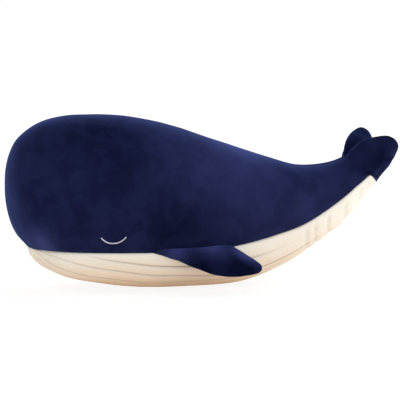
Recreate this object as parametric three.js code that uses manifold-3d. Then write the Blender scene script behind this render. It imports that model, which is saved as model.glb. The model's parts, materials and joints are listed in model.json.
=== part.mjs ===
// A plush whale: a stuffed velour body in two navy side panels and a cream belly panel, a tail stock
// that bends, two flippers and two fluke lobes. Units are millimetres and +Z is up. The nose points
// to -X, and +Y is the whale's right side. The origin is on the floor, at the middle of the toy.
import * as THREE from "three";
import Module from "manifold-3d";

const wasm = await Module();
wasm.setup();

// Driving dimensions of the body
const bodyLength = 590;
const bodyHeight = 266;
const bodyHalfWidth = 121;
const skinThickness = 3;
const stuffingGap = 1;
const sewnGap = 0.4;
const grooveDepth = 2.2;
const restingFlatDepth = 0.5;

// The tail stock bends about a pin line across the body
const tailHingeShare = 0.783;
const tailKnuckleMargin = 2.5;
const tailBendDeg = 12;

// Flippers
const flipperReach = 60;
const flipperHalfThickness = 10;
const flipperDroopDeg = 36;
const flipperUpDeg = 30;
const flipperDownDeg = 10;

// Fluke lobes
const flukeReach = 70;
const flukeOuterThickness = 21;
const flukeInnerThickness = 16;
const flukeKnuckleRadius = 16;
const flukeRaiseDeg = 40.5;
const flukeFlapDeg = 15;

// Embroidery and sewing thread
const eyeWidth = 38;
const eyeDrop = 9;
const eyeThreadDiameter = 2;
const seamThreadDiameter = 1;

// Clearances and overruns
const motionGap = 0.4;
const threadClearance = 0.5;
const sweepMarginDeg = 1;
const cutOverrun = 60;

// Where the back, the flank at its widest, the belly seam and the keel lie at each station from the
// nose to the end of the tail stock. Distances along the body are shares of its length, heights of
// its height, and half widths of its half width.
const stationShares = [
  // back x, back z, flank x, flank z, flank y, seam x, seam z, seam y, keel x, keel z
  [0.0, 0.62, 0.0, 0.62, 0.0, 0.0, 0.62, 0.0, 0.0, 0.62],
  [0.006, 0.748, 0.006, 0.613, 0.298, 0.006, 0.5, 0.0, 0.006, 0.5],
  [0.028, 0.857, 0.019, 0.602, 0.479, 0.015, 0.406, 0.0, 0.015, 0.406],
  [0.06, 0.914, 0.037, 0.586, 0.636, 0.034, 0.312, 0.0, 0.034, 0.312],
  [0.099, 0.96, 0.064, 0.568, 0.769, 0.064, 0.248, 0.0, 0.064, 0.248],
  [0.136, 0.983, 0.093, 0.549, 0.851, 0.07, 0.25, 0.207, 0.068, 0.211],
  [0.178, 0.994, 0.127, 0.534, 0.909, 0.087, 0.253, 0.455, 0.082, 0.167],
  [0.222, 0.995, 0.173, 0.519, 0.955, 0.115, 0.256, 0.686, 0.109, 0.122],
  [0.263, 0.991, 0.224, 0.508, 0.983, 0.168, 0.256, 0.86, 0.163, 0.072],
  [0.317, 0.98, 0.292, 0.496, 1.0, 0.241, 0.252, 0.926, 0.237, 0.039],
  [0.385, 0.951, 0.376, 0.485, 0.992, 0.342, 0.246, 0.938, 0.342, 0.0],
  [0.466, 0.9, 0.461, 0.47, 0.959, 0.444, 0.244, 0.901, 0.444, 0.0],
  [0.547, 0.836, 0.546, 0.455, 0.901, 0.537, 0.252, 0.826, 0.537, 0.0],
  [0.629, 0.773, 0.631, 0.444, 0.818, 0.614, 0.273, 0.736, 0.622, 0.015],
  [0.71, 0.712, 0.707, 0.447, 0.711, 0.69, 0.305, 0.628, 0.702, 0.068],
  [0.783, 0.665, 0.778, 0.466, 0.595, 0.763, 0.346, 0.529, 0.778, 0.15],
  [0.846, 0.662, 0.842, 0.504, 0.479, 0.831, 0.414, 0.43, 0.846, 0.239],
  [0.888, 0.679, 0.893, 0.553, 0.38, 0.888, 0.485, 0.347, 0.905, 0.329],
  [0.914, 0.703, 0.934, 0.602, 0.293, 0.966, 0.605, 0.231, 1.0, 0.545],
];
const chinStationIndex = 4;
const tailStationIndex = stationShares.length - 1;
const tailHingeStationIndex = 15;

// How square the two arcs of the flank and the arc of the belly are: 2 is an ellipse
const backSquareness = 2.15;
const flankSquareness = 2.4;
const bellySquareness = 2.3;

// Points round each half ring from the back to the seam
const flankShares = [0, 0.16, 0.33, 0.5, 0.66, 0.83, 1];

// The sewn grooves of the belly leave the seam one after another behind the chin. Each row gives how
// far from the seam to the keel a groove settles, and the stations where it leaves and settles.
const grooveShares = [
  [0.23, 7.9, 10.5],
  [0.45, 5.3, 12.2],
  [0.545, 4.85, 6.1],
  [0.78, 4.55, 6],
];
const grooveSpacingShare = 0.03;
const threadLeadShare = 0.5;

// Outlines. The flipper's runs along its root and then outwards, the fluke's outwards and then from
// its leading to its trailing edge, each as shares of its own two sizes.
const flipperOutlineShares = [
  [0.03, -0.08], [0.32, -0.08], [0.66, -0.08], [0.97, -0.08], [1.05, 0.12], [1.13, 0.36], [1.21, 0.6],
  [1.24, 0.78], [1.19, 0.94], [1.06, 1.01], [0.86, 1.02], [0.65, 0.93], [0.42, 0.6], [0.2, 0.2],
];
const flipperCrownShares = [0.66, 0.42];
const flukeOutlineShares = [
  [-0.6, -0.42], [-0.31, -0.5], [0.0, -0.56], [0.33, -0.56], [0.63, -0.47], [0.86, -0.32], [1.0, -0.12],
  [0.89, 0.09], [0.69, 0.21], [0.39, 0.33], [0.02, 0.42], [-0.31, 0.5], [-0.6, 0.42],
];
const flukeCrownShares = [0.05, -0.05];
const pillowRingShares = [0.55, 0.86, 1];
const pillowRimPoints = 16;

// Places along the body
const eyePlaceShares = { along: 0.225, height: 0.343 };
const flipperRootPlaceShares = { front: 0.553, rear: 0.675 };

// Colours of the cloth and thread
const navyVelour = new THREE.MeshStandardMaterial({ color: 0x1c2144, roughness: 0.95, metalness: 0 });
const creamVelour = new THREE.MeshStandardMaterial({ color: 0xefe6d8, roughness: 0.95, metalness: 0 });
const fibreFill = new THREE.MeshStandardMaterial({ color: 0xf4f3ef, roughness: 1, metalness: 0 });
const eyeThread = new THREE.MeshStandardMaterial({ color: 0xb9bbcb, roughness: 0.6, metalness: 0 });
const navyThread = new THREE.MeshStandardMaterial({ color: 0x151936, roughness: 0.8, metalness: 0 });
const creamThread = new THREE.MeshStandardMaterial({ color: 0xb7a48c, roughness: 0.8, metalness: 0 });

const radians = THREE.MathUtils.degToRad;
const upright = new THREE.Vector3(0, 0, 1);
const acrossToy = new THREE.Vector3(0, 1, 0);

// Rails: the four curves along the body that the rings hang on. A mirrored first point makes a curve
// leave the nose, or the chin, as smoothly as its other half does on the far side.
const along = (share) => share * bodyLength;
const high = (share) => share * bodyHeight;
const across = (share) => share * bodyHalfWidth;
const backPoints = stationShares.map((s) => new THREE.Vector3(along(s[0]), 0, high(s[1])));
const flankPoints = stationShares.map((s) => new THREE.Vector3(along(s[2]), across(s[4]), high(s[3])));
const seamPoints = stationShares.map((s) => new THREE.Vector3(along(s[5]), across(s[7]), high(s[6])));
const keelPoints = stationShares.map((s) => new THREE.Vector3(along(s[8]), 0, high(s[9])));
const farSide = (p) => new THREE.Vector3(p.x, -p.y, p.z);

function rail(points, before) {
  const curve = new THREE.CatmullRomCurve3(before ? [before, ...points] : points);
  const lead = before ? 1 : 0;
  return (station) => curve.getPoint((station + lead) / (points.length - 1 + lead));
}

const backRail = rail(backPoints, keelPoints[1]);
const flankRail = rail(flankPoints, farSide(flankPoints[1]));
const faceRail = rail(keelPoints.slice(0, chinStationIndex + 1), backPoints[1]);
const seamRail = rail(seamPoints.slice(chinStationIndex), farSide(seamPoints[chinStationIndex + 1]));
const keelRail = rail(keelPoints.slice(chinStationIndex));

// One quarter of a squared ellipse: how far out and how far down a turn is.
function quarterArc(turnShare, squareness) {
  const out = Math.cos((turnShare * Math.PI) / 2);
  const down = Math.sin((turnShare * Math.PI) / 2);
  const size = (Math.abs(out) ** squareness + Math.abs(down) ** squareness) ** (-1 / squareness);
  return { out: out * size, down: down * size };
}

const onMidplane = (p) => new THREE.Vector3(p.x, 0, p.z);

// The right side of the navy skin at a station, from the back (0) over the widest flank (0.5) to
// the belly seam (1), or to the middle of the face in front of the chin.
function flankPoint(station, share) {
  const widest = flankRail(station);
  const end = station < chinStationIndex ? faceRail(station) : seamRail(station - chinStationIndex);
  const centre = onMidplane(widest);
  const half = Math.max(widest.y, Number.EPSILON);
  if (share <= 0.5) {
    const turn = quarterArc(1 - 2 * share, backSquareness);
    const rise = backRail(station).sub(centre).multiplyScalar(turn.down);
    return centre.add(rise).setY(half * turn.out);
  }
  const endOut = Math.min(Math.max(end.y, 0) / half, 1);
  const endDown = (1 - endOut ** flankSquareness) ** (1 / flankSquareness);
  const endTurn = Math.atan2(endDown, endOut) / (Math.PI / 2);
  const turn = quarterArc((2 * share - 1) * endTurn, flankSquareness);
  const drop = onMidplane(end).sub(centre).multiplyScalar(turn.down / endDown);
  return centre.add(drop).setY(half * turn.out);
}

// How far from the seam to the keel a groove is at a station, and how deep it is there. It leaves the
// seam steeply and then settles slowly.
function grooveAt(index, station) {
  const [settledShare, leaves, settles] = grooveShares[index];
  const turn = Math.sqrt(THREE.MathUtils.clamp((station - leaves) / (settles - leaves), 0, 1));
  const least = grooveSpacingShare * (index + 1);
  return { share: Math.max(settledShare * turn, least), depth: grooveDepth * turn };
}

// The points of the belly's half ring at a station. The outside of the skin has a ridge between every
// two grooves, and one beside the last groove for the flat keel. The inside follows the grooves
// alone, and the stuffing fewer of them still.
const keelColumn = { share: 1, depth: 0 };
function innerColumns(station) {
  return [...grooveShares.map((unused, index) => grooveAt(index, station)), keelColumn];
}
function outerColumns(station) {
  const columns = innerColumns(station);
  return columns.flatMap((column, k) => {
    const before = k === 0 ? 0 : columns[k - 1].share;
    return [{ share: (before + column.share) / 2, depth: 0 }, column];
  });
}
function stuffingColumns(station) {
  return innerColumns(station).filter((unused, k) => k % 2 === 1 || k === grooveShares.length);
}

// The right side of the belly at a station, from the seam (0) to the keel (1).
function bellyPoint(station, { share, depth }) {
  if (station <= chinStationIndex) return faceRail(Math.min(station, chinStationIndex));
  const seam = seamRail(station - chinStationIndex);
  const centre = onMidplane(seam);
  const turn = quarterArc(share, bellySquareness);
  const point = keelRail(station - chinStationIndex).sub(centre).multiplyScalar(turn.down).add(centre);
  point.y = seam.y * turn.out;
  return point.addScaledVector(centre.sub(point).normalize(), depth);
}

// A closed mesh with shared vertices, and the normals at them.
function shell(points, faces) {
  const geometry = new THREE.BufferGeometry().setFromPoints(points);
  geometry.setIndex(faces.filter(([a, b, c]) => a !== b && b !== c && c !== a).flat());
  geometry.computeVertexNormals();
  return geometry;
}

const ringStations = [0, 0.5, 1, 2, 3, 4, 4.5, 5, 6, 7, 8, 9, 10, 11, 12, 13, 14, 15, 16, 17, 18];

// The whole body as one closed skin. Its vertex table says which vertex is where, so that threads
// can follow the seams and grooves along the mesh's own edges.
function bodySkin(bellyColumns) {
  const points = [];
  const keep = (p) => points.push(p) - 1;
  const pointsPerHalf = flankShares.length + bellyColumns(tailStationIndex).length;
  const vertexTable = ringStations.map((station) => {
    if (station === 0) {
      const nose = keep(backPoints[0].clone());
      const same = new Array(pointsPerHalf).fill(nose);
      return { right: same, left: same };
    }
    const half = flankShares.map((share) => flankPoint(station, share));
    if (station > chinStationIndex) {
      half.push(...bellyColumns(station).map((column) => bellyPoint(station, column)));
    }
    const last = half.length - 1;
    half[0].y = 0;
    half[last].y = 0;
    const right = half.map(keep);
    const left = half.map((p, k) => (k === 0 || k === last ? right[k] : keep(farSide(p))));
    while (right.length < pointsPerHalf) {
      right.push(right[last]);
      left.push(left[last]);
    }
    return { right, left };
  });
  const faces = [];
  const quad = (a, b, c, d) => faces.push([a, b, c], [a, c, d]);
  for (let ring = 0; ring + 1 < vertexTable.length; ring++) {
    const front = vertexTable[ring];
    const rear = vertexTable[ring + 1];
    for (let k = 0; k + 1 < front.right.length; k++) {
      quad(front.right[k], rear.right[k], rear.right[k + 1], front.right[k + 1]);
      quad(front.left[k], front.left[k + 1], rear.left[k + 1], rear.left[k]);
    }
  }
  const end = vertexTable[vertexTable.length - 1];
  const middle = keep(backPoints[tailStationIndex].clone().lerp(keelPoints[tailStationIndex], 0.5));
  for (let k = 0; k + 1 < end.right.length; k++) {
    faces.push([end.right[k + 1], end.right[k], middle], [end.left[k], end.left[k + 1], middle]);
  }
  return { geometry: shell(points, faces), vertexTable };
}

// The same closed skin moved inwards along its normals, or outwards by a negative distance.
function inset(geometry, distance) {
  const moved = geometry.clone();
  const position = moved.getAttribute("position");
  const normal = geometry.getAttribute("normal");
  const p = new THREE.Vector3();
  const n = new THREE.Vector3();
  for (let i = 0; i < position.count; i++) {
    p.fromBufferAttribute(position, i).addScaledVector(n.fromBufferAttribute(normal, i), -distance);
    position.setXYZ(i, p.x, p.y, p.z);
  }
  return moved;
}

// Between three.js geometry and solids that can be cut
const cellsPerMillimetre = 1e4;
function solid(geometry) {
  const position = geometry.getAttribute("position");
  const cell = (v) => Math.round(v * cellsPerMillimetre);
  const seen = new Map();
  const vertices = [];
  const vertexAt = (i) => {
    const p = [position.getX(i), position.getY(i), position.getZ(i)];
    const key = p.map(cell).join();
    if (!seen.has(key)) seen.set(key, vertices.push(p) - 1);
    return seen.get(key);
  };
  const order = geometry.index ? Array.from(geometry.index.array) : [...Array(position.count).keys()];
  const corners = order.map(vertexAt);
  const triangles = [];
  for (let i = 0; i < corners.length; i += 3) {
    const [a, b, c] = corners.slice(i, i + 3);
    if (a !== b && b !== c && c !== a) triangles.push(a, b, c);
  }
  return new wasm.Manifold(
    new wasm.Mesh({
      numProp: 3,
      vertProperties: new Float32Array(vertices.flat()),
      triVerts: new Uint32Array(triangles),
    }),
  );
}

function geometryOf(made) {
  const mesh = made.getMesh();
  const geometry = new THREE.BufferGeometry();
  geometry.setAttribute("position", new THREE.BufferAttribute(mesh.vertProperties, mesh.numProp));
  geometry.setIndex(new THREE.BufferAttribute(mesh.triVerts, 1));
  geometry.computeVertexNormals();
  return geometry;
}

// A placed copy, whose faces still point outwards when the place mirrors it
function placed(geometry, place) {
  const copy = geometry.clone().applyMatrix4(place);
  if (place.determinant() < 0) {
    const order = copy.index.array;
    for (let i = 0; i < order.length; i += 3) [order[i], order[i + 1]] = [order[i + 1], order[i]];
  }
  return copy;
}

// Cutting tools. A profile block is an outline of the toy's side view, carried right across it.
const toolReach = 2 * bodyLength;
function profileBlock(outline) {
  const shape = new THREE.Shape(outline.map(([x, z]) => new THREE.Vector2(x, z)));
  const block = new THREE.ExtrudeGeometry(shape, { depth: toolReach, bevelEnabled: false });
  return block.rotateX(Math.PI / 2).translate(0, toolReach / 2, 0);
}

// Everything above (1) or below (-1) the belly seam, less half the gap between the sewn panels
function seamBlock(side) {
  const shift = (side * sewnGap) / 2;
  const seamStations = ringStations.filter((station) => station >= chinStationIndex);
  const line = seamStations.map((station) => {
    const p = seamRail(station - chinStationIndex);
    return [p.x, p.z + shift];
  });
  const end = keelPoints[tailStationIndex];
  line.unshift([line[0][0] - toolReach, line[0][1]]);
  line.push([end.x + shift, end.z], [end.x + shift, -toolReach]);
  if (side > 0) line.push([toolReach, -toolReach], [toolReach, toolReach]);
  return profileBlock([...line, [-toolReach, side * toolReach]]);
}

// Everything on one side of a plane through the origin, across one of the axes
function halfSpace(axis, side, gap = 0) {
  const shift = new THREE.Vector3().setComponent(axis, (side * (toolReach + gap)) / 2);
  const size = new THREE.Vector3(2 * toolReach, 2 * toolReach, 2 * toolReach).setComponent(axis, toolReach);
  return new THREE.BoxGeometry(size.x, size.y, size.z).translate(shift.x, shift.y, shift.z);
}

// A knuckle is a round end that turns in a round socket. Its line is along Y, and it carries what
// lies on its +X side, in a block of a given thickness. The socket also clears that block's sweep.
const knuckleSides = 48;
function turningBlock(radius, thickness, turnsDeg, place) {
  const round = solid(placed(new THREE.CylinderGeometry(radius, radius, toolReach, knuckleSides), place));
  return turnsDeg.reduce((joined, turnDeg) => {
    const carried = new THREE.BoxGeometry(toolReach, toolReach, thickness).translate(toolReach / 2, 0, 0);
    return joined.add(solid(placed(carried.rotateY(radians(turnDeg)), place)));
  }, round);
}
function knuckleBlock(radius, place) {
  return turningBlock(radius, toolReach, [0], place);
}
function socketBlock(radius, thickness, turnDeg, place) {
  const sweep = turnDeg + sweepMarginDeg;
  return turningBlock(radius + motionGap, thickness, [-sweep, sweep], place);
}

// A stuffed leaf in the XY plane, whose two faces swell from its rim to a crown. It can be made
// smaller by a thickness all round, which gives the stuffing inside its skin.
function pillow(outlineShares, crownShares, length, width, upThickness, downThickness, smaller = 0) {
  const place = ([x, y]) => new THREE.Vector3(x * length, y * width, 0);
  const crown = place(crownShares);
  const loop = new THREE.CatmullRomCurve3(outlineShares.map(place), true);
  const rim = Array.from({ length: pillowRimPoints }, (unused, i) => {
    const tangent = loop.getTangent(i / pillowRimPoints);
    const inward = new THREE.Vector3().crossVectors(upright, tangent).normalize();
    return loop.getPoint(i / pillowRimPoints).addScaledVector(inward, smaller);
  });
  const points = [];
  const keep = (p) => points.push(p) - 1;
  const rimIds = rim.map(keep);
  const faces = [];
  for (const [side, thickness] of [[1, upThickness - smaller], [-1, downThickness - smaller]]) {
    let inner = new Array(pillowRimPoints).fill(keep(crown.clone().setZ(side * thickness)));
    for (const share of pillowRingShares) {
      const height = side * thickness * Math.sqrt(1 - share * share);
      const ring =
        share === 1 ? rimIds : rim.map((p) => keep(crown.clone().lerp(p, share).setZ(height)));
      for (let i = 0; i < pillowRimPoints; i++) {
        const j = (i + 1) % pillowRimPoints;
        const quad = [[inner[i], ring[i], ring[j]], [inner[i], ring[j], inner[j]]];
        faces.push(...quad.map((face) => (side > 0 ? face : face.reverse())));
      }
      inner = ring;
    }
  }
  return shell(points, faces);
}

// A thread along a line of points, as a tube with flat ends
const threadSides = 4;
function threadTube(points, diameter) {
  const vertices = [];
  const faces = [];
  points.forEach((p, i) => {
    const ahead = points[Math.min(i + 1, points.length - 1)];
    const behind = points[Math.max(i - 1, 0)];
    const tangent = ahead.clone().sub(behind).normalize();
    const steep = new THREE.Vector3().crossVectors(tangent, acrossToy).normalize();
    const level = new THREE.Vector3().crossVectors(steep, tangent);
    for (let k = 0; k < threadSides; k++) {
      const turn = (2 * Math.PI * k) / threadSides;
      const offset = level.clone().multiplyScalar(Math.cos(turn)).addScaledVector(steep, Math.sin(turn));
      vertices.push(p.clone().addScaledVector(offset, diameter / 2));
    }
  });
  const last = (points.length - 1) * threadSides;
  for (let k = 0; k < threadSides; k++) {
    const next = (k + 1) % threadSides;
    for (let row = 0; row < last; row += threadSides) {
      faces.push([row + k, row + next, row + threadSides + next]);
      faces.push([row + k, row + threadSides + next, row + threadSides + k]);
    }
    if (k > 0 && k + 1 < threadSides) faces.push([0, k + 1, k], [last, last + k, last + k + 1]);
  }
  return shell(vertices, faces);
}

// The cut solids of the body
const { geometry: bodyGeometry, vertexTable } = bodySkin(outerColumns);
const { geometry: innerGeometry } = bodySkin(innerColumns);
const { geometry: fillGeometry } = bodySkin(stuffingColumns);
const stuffingDepth = skinThickness + stuffingGap;
const floorBlock = solid(halfSpace(2, -1).translate(0, 0, restingFlatDepth));
const rightBlock = solid(halfSpace(1, 1, sewnGap));
const aboveSeam = solid(seamBlock(1));
const belowSeam = solid(seamBlock(-1));
const beyondSeam = solid(halfSpace(0, 1).translate(seamPoints[tailStationIndex].x, 0, 0));

// The tail stock bends about the middle of the body's height at its hinge station. Its round end
// fills that height.
const tailTop = backRail(tailHingeStationIndex);
const tailKnuckleRadius = tailTop.distanceTo(keelPoints[tailHingeStationIndex]) / 2 + tailKnuckleMargin;
const tailHinge = tailTop.clone().lerp(keelPoints[tailHingeStationIndex], 0.5).setX(along(tailHingeShare));
const tailPlace = new THREE.Matrix4().makeTranslation(tailHinge);
const tailBlock = knuckleBlock(tailKnuckleRadius, tailPlace);
const tailSocket = socketBlock(tailKnuckleRadius, toolReach, tailBendDeg, tailPlace);

// The flukes leave the tail stock along the line from the end of the back to the end of the keel.
const flukeRootTop = backPoints[tailStationIndex];
const flukeRootLow = keelPoints[tailStationIndex];
const flukeRootChord = flukeRootTop.distanceTo(flukeRootLow);
const flukeChord = flukeRootLow.clone().sub(flukeRootTop).normalize();
const flukeBackward = new THREE.Vector3(-flukeChord.z, 0, flukeChord.x);
const flukeSpan = new THREE.Vector3(0, Math.cos(radians(flukeRaiseDeg)), 0).addScaledVector(
  flukeBackward,
  Math.sin(radians(flukeRaiseDeg)),
);
const flukeFace = new THREE.Vector3().crossVectors(flukeSpan, flukeChord);
const flukeRootMiddle = flukeRootTop.clone().lerp(flukeRootLow, 0.5);
const flukeHingeReach = (flukeKnuckleRadius + sewnGap) / flukeSpan.y;
const flukeHinge = flukeRootMiddle.clone().addScaledVector(flukeSpan, flukeHingeReach);
const flukePlace = new THREE.Matrix4().makeBasis(flukeSpan, flukeChord, flukeFace).setPosition(flukeHinge);
const mirror = new THREE.Matrix4().makeScale(1, -1, 1);
const bothFlukes = [flukePlace, mirror.clone().multiply(flukePlace)];
const flukeRearPlace = new THREE.Matrix4()
  .makeBasis(flukeBackward, acrossToy, new THREE.Vector3().crossVectors(flukeBackward, acrossToy))
  .setPosition(flukeHinge);
const flukeSocketThickness = 3 * flukeOuterThickness;
const flukeRoom = bothFlukes
  .map((place) => socketBlock(flukeKnuckleRadius, flukeSocketThickness, flukeFlapDeg, place))
  .reduce((joined, socket) => joined.add(socket), solid(placed(halfSpace(0, 1), flukeRearPlace)));
const flukeLeaf = [
  flukeOutlineShares, flukeCrownShares, flukeReach, flukeRootChord,
  flukeOuterThickness, flukeInnerThickness,
];

// The flippers hang out and down from the belly seam.
const flipperRootStation = (share) => share * tailStationIndex - chinStationIndex;
const flipperFront = seamRail(flipperRootStation(flipperRootPlaceShares.front));
const flipperRear = seamRail(flipperRootStation(flipperRootPlaceShares.rear));
const flipperRoot = flipperRear.clone().sub(flipperFront).normalize();
const flipperRootLength = flipperFront.distanceTo(flipperRear);
const flipperLevel = new THREE.Vector3().crossVectors(upright, flipperRoot).normalize();
const flipperOut = flipperLevel
  .multiplyScalar(Math.cos(radians(flipperDroopDeg)))
  .addScaledVector(upright, -Math.sin(radians(flipperDroopDeg)));
const flipperUp = new THREE.Vector3().crossVectors(flipperRoot, flipperOut).normalize();
const flipperPlace = new THREE.Matrix4()
  .makeBasis(flipperRoot, new THREE.Vector3().crossVectors(flipperUp, flipperRoot), flipperUp)
  .setPosition(flipperFront);

// The toy is symmetrical, so each side holds the same pieces and the left side is mirrored.
const whale = new THREE.Group();
const sides = { right: new THREE.Group(), left: new THREE.Group() };
sides.left.scale.y = -1;
whale.add(sides.right, sides.left);

function single(name, made, material) {
  const mesh = new THREE.Mesh(geometryOf(made), material);
  mesh.name = name;
  whale.add(mesh);
}
function pair(name, made, material, place) {
  const geometry = geometryOf(made);
  for (const [side, group] of Object.entries(sides)) {
    const mesh = new THREE.Mesh(geometry, material);
    mesh.name = `${side}_${name}`;
    if (place) mesh.applyMatrix4(place);
    group.add(mesh);
  }
}

// The skin and stuffing of the body, and of the tail stock behind it, which takes in the roots of
// the flukes
const joinAll = (solids) => solids.reduce((joined, next) => joined.add(next));
const flukeRoots = (smaller) =>
  bothFlukes.map((place) => solid(placed(pillow(...flukeLeaf, smaller), place)));
const wholeSkin = joinAll([solid(bodyGeometry), ...flukeRoots(0)]);
const wholeInside = joinAll([solid(inset(innerGeometry, skinThickness)), ...flukeRoots(skinThickness)]);
const wholeShell = wholeSkin.subtract(wholeInside);
const bodyFill = solid(inset(fillGeometry, stuffingDepth));
const sideShell = wholeShell.intersect(aboveSeam).intersect(rightBlock).subtract(beyondSeam);
const bellyShell = wholeShell.intersect(belowSeam);
pair("side_panel", sideShell.subtract(tailSocket), navyVelour);
single("belly_panel", bellyShell.subtract(tailSocket).subtract(floorBlock), creamVelour);
single("body_stuffing", bodyFill.subtract(tailSocket), fibreFill);
const tailOnly = (made) => made.intersect(tailBlock).subtract(flukeRoom);
pair("tail_side_panel", tailOnly(sideShell), navyVelour);
single("tail_belly_panel", tailOnly(bellyShell), creamVelour);
single("tail_stuffing", tailOnly(joinAll([bodyFill, ...flukeRoots(stuffingDepth)])), fibreFill);

// The threads lie along the mesh's own edges, just clear of them.
function threadLine(pick, from, to) {
  const position = bodyGeometry.getAttribute("position");
  const normal = bodyGeometry.getAttribute("normal");
  const lift = seamThreadDiameter / 2 + threadClearance;
  const n = new THREE.Vector3();
  return vertexTable
    .filter((unused, ring) => ringStations[ring] >= from && ringStations[ring] <= to)
    .map((ring) => pick(ring))
    .map((id) => new THREE.Vector3().fromBufferAttribute(position, id)
      .addScaledVector(n.fromBufferAttribute(normal, id), lift));
}
const threadAlong = (line) => solid(threadTube(line, seamThreadDiameter));
const seamColumn = flankShares.length - 1;
const threadStart = chinStationIndex + 1;
const threadEnd = tailStationIndex - 1;
const seamLine = threadLine((ring) => ring.right[seamColumn], threadStart, threadEnd);

// The two sewn faces and the stuffing of a leaf, cut to what it has to clear
function stuffedLeaf(leaf, names, keepOnly, clear) {
  const make = (smaller) => solid(pillow(...leaf, smaller));
  const trim = (made) => clear.reduce((left, block) => left.subtract(block), made.intersect(keepOnly));
  const skin = make(0).subtract(make(skinThickness));
  return {
    [names.up]: trim(skin.intersect(solid(halfSpace(2, 1, sewnGap)))),
    [names.down]: trim(skin.intersect(solid(halfSpace(2, -1, sewnGap)))),
    [names.fill]: trim(make(stuffingDepth)),
  };
}

// The flippers, cut to the body in the three poses of their flap
const flipperLeaf = [
  flipperOutlineShares, flipperCrownShares, flipperRootLength, flipperReach,
  flipperHalfThickness, flipperHalfThickness,
];
const intoFlipper = flipperPlace.clone().invert();
const flipperSeat = threadClearance + seamThreadDiameter + motionGap;
const bodyRoom = placed(inset(bodyGeometry, -flipperSeat), intoFlipper);
const flipperClear = [-flipperDownDeg, 0, flipperUpDeg].map((flap) =>
  solid(bodyRoom.clone().rotateX(radians(-flap))),
);
const flipperNames = { up: "flipper_upper_panel", down: "flipper_lower_panel", fill: "flipper_stuffing" };
const flipperSide = solid(halfSpace(1, 1).translate(0, -cutOverrun, 0));
const flipper = stuffedLeaf(flipperLeaf, flipperNames, flipperSide, flipperClear);
for (const [name, made] of Object.entries(flipper)) {
  pair(name, made, name.endsWith("stuffing") ? fibreFill : navyVelour, flipperPlace);
}

// The fluke lobes, whose outer face looks forwards and down
const intoFluke = flukePlace.clone().invert();
const farSideBlock = placed(halfSpace(1, -1, -sewnGap), intoFluke);
const flukeClear = [-flukeFlapDeg, 0, flukeFlapDeg].map((flap) =>
  solid(farSideBlock.clone().rotateY(radians(-flap))),
);
const flukeNames = { up: "fluke_outer_panel", down: "fluke_inner_panel", fill: "fluke_stuffing" };
const flukeSide = knuckleBlock(flukeKnuckleRadius, new THREE.Matrix4());
const fluke = stuffedLeaf(flukeLeaf, flukeNames, flukeSide, flukeClear);
for (const [name, made] of Object.entries(fluke)) {
  pair(name, made, name.endsWith("stuffing") ? fibreFill : navyVelour, flukePlace);
}

// The closed eyes, each an arc of satin stitch that follows the cheek
const cheek = new THREE.Mesh(bodyGeometry, navyVelour);
function cheekPoint(x, z, lift) {
  const ray = new THREE.Raycaster(new THREE.Vector3(x, toolReach, z), new THREE.Vector3(0, -1, 0));
  const hit = ray.intersectObject(cheek)[0];
  return hit.point.addScaledVector(hit.face.normal, lift);
}
const eyeSteps = 14;
const eyeLine = Array.from({ length: eyeSteps + 1 }, (unused, i) => {
  const t = (2 * i) / eyeSteps - 1;
  const x = along(eyePlaceShares.along) + (t * eyeWidth) / 2;
  const z = high(eyePlaceShares.height) - eyeDrop * (1 - t * t);
  return cheekPoint(x, z, eyeThreadDiameter / 2 + threadClearance);
});
pair("eye_embroidery", solid(threadTube(eyeLine, eyeThreadDiameter)), eyeThread);

// The threads of the belly seam, the eight belly grooves and the seam over the back and the face
const beltThread = threadAlong(seamLine);
pair("belly_seam_thread", beltThread.subtract(tailSocket), navyThread);
pair("tail_seam_thread", tailOnly(beltThread), navyThread);
grooveShares.forEach(([, leaves], i) => {
  const column = seamColumn + 2 * (i + 1);
  const start = Math.max(threadStart, leaves + threadLeadShare);
  const thread = threadAlong(threadLine((ring) => ring.right[column], start, threadEnd));
  pair(`groove_thread_${i + 1}`, thread.subtract(tailSocket).subtract(floorBlock), creamThread);
  pair(`tail_groove_thread_${i + 1}`, tailOnly(thread), creamThread);
});
const backLine = threadLine((ring) => ring.right[0], 0, threadEnd);
const faceLine = threadLine((ring) => ring.right[seamColumn], ringStations[1], chinStationIndex);
const backThread = threadAlong([...faceLine.reverse(), ...backLine]);
single("back_seam_thread", backThread.subtract(tailSocket), navyThread);
single("tail_back_seam_thread", tailOnly(backThread), navyThread);

// The origin is under the middle of the toy's whole length.
const reach = new THREE.Box3().setFromObject(whale, true);
whale.position.x = -(reach.min.x + reach.max.x) / 2;
whale.position.z = -reach.min.z;

export default whale;
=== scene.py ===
# %% [markdown]
# # A plush whale
# The toy is a stuffed whale about 60 cm long. Two navy velour side panels meet along the back, a
# cream belly panel with sewn throat grooves closes it below, and two flippers and two tail flukes
# are sewn on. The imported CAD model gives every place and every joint, and this script dresses it.

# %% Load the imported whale
import json
import math

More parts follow.
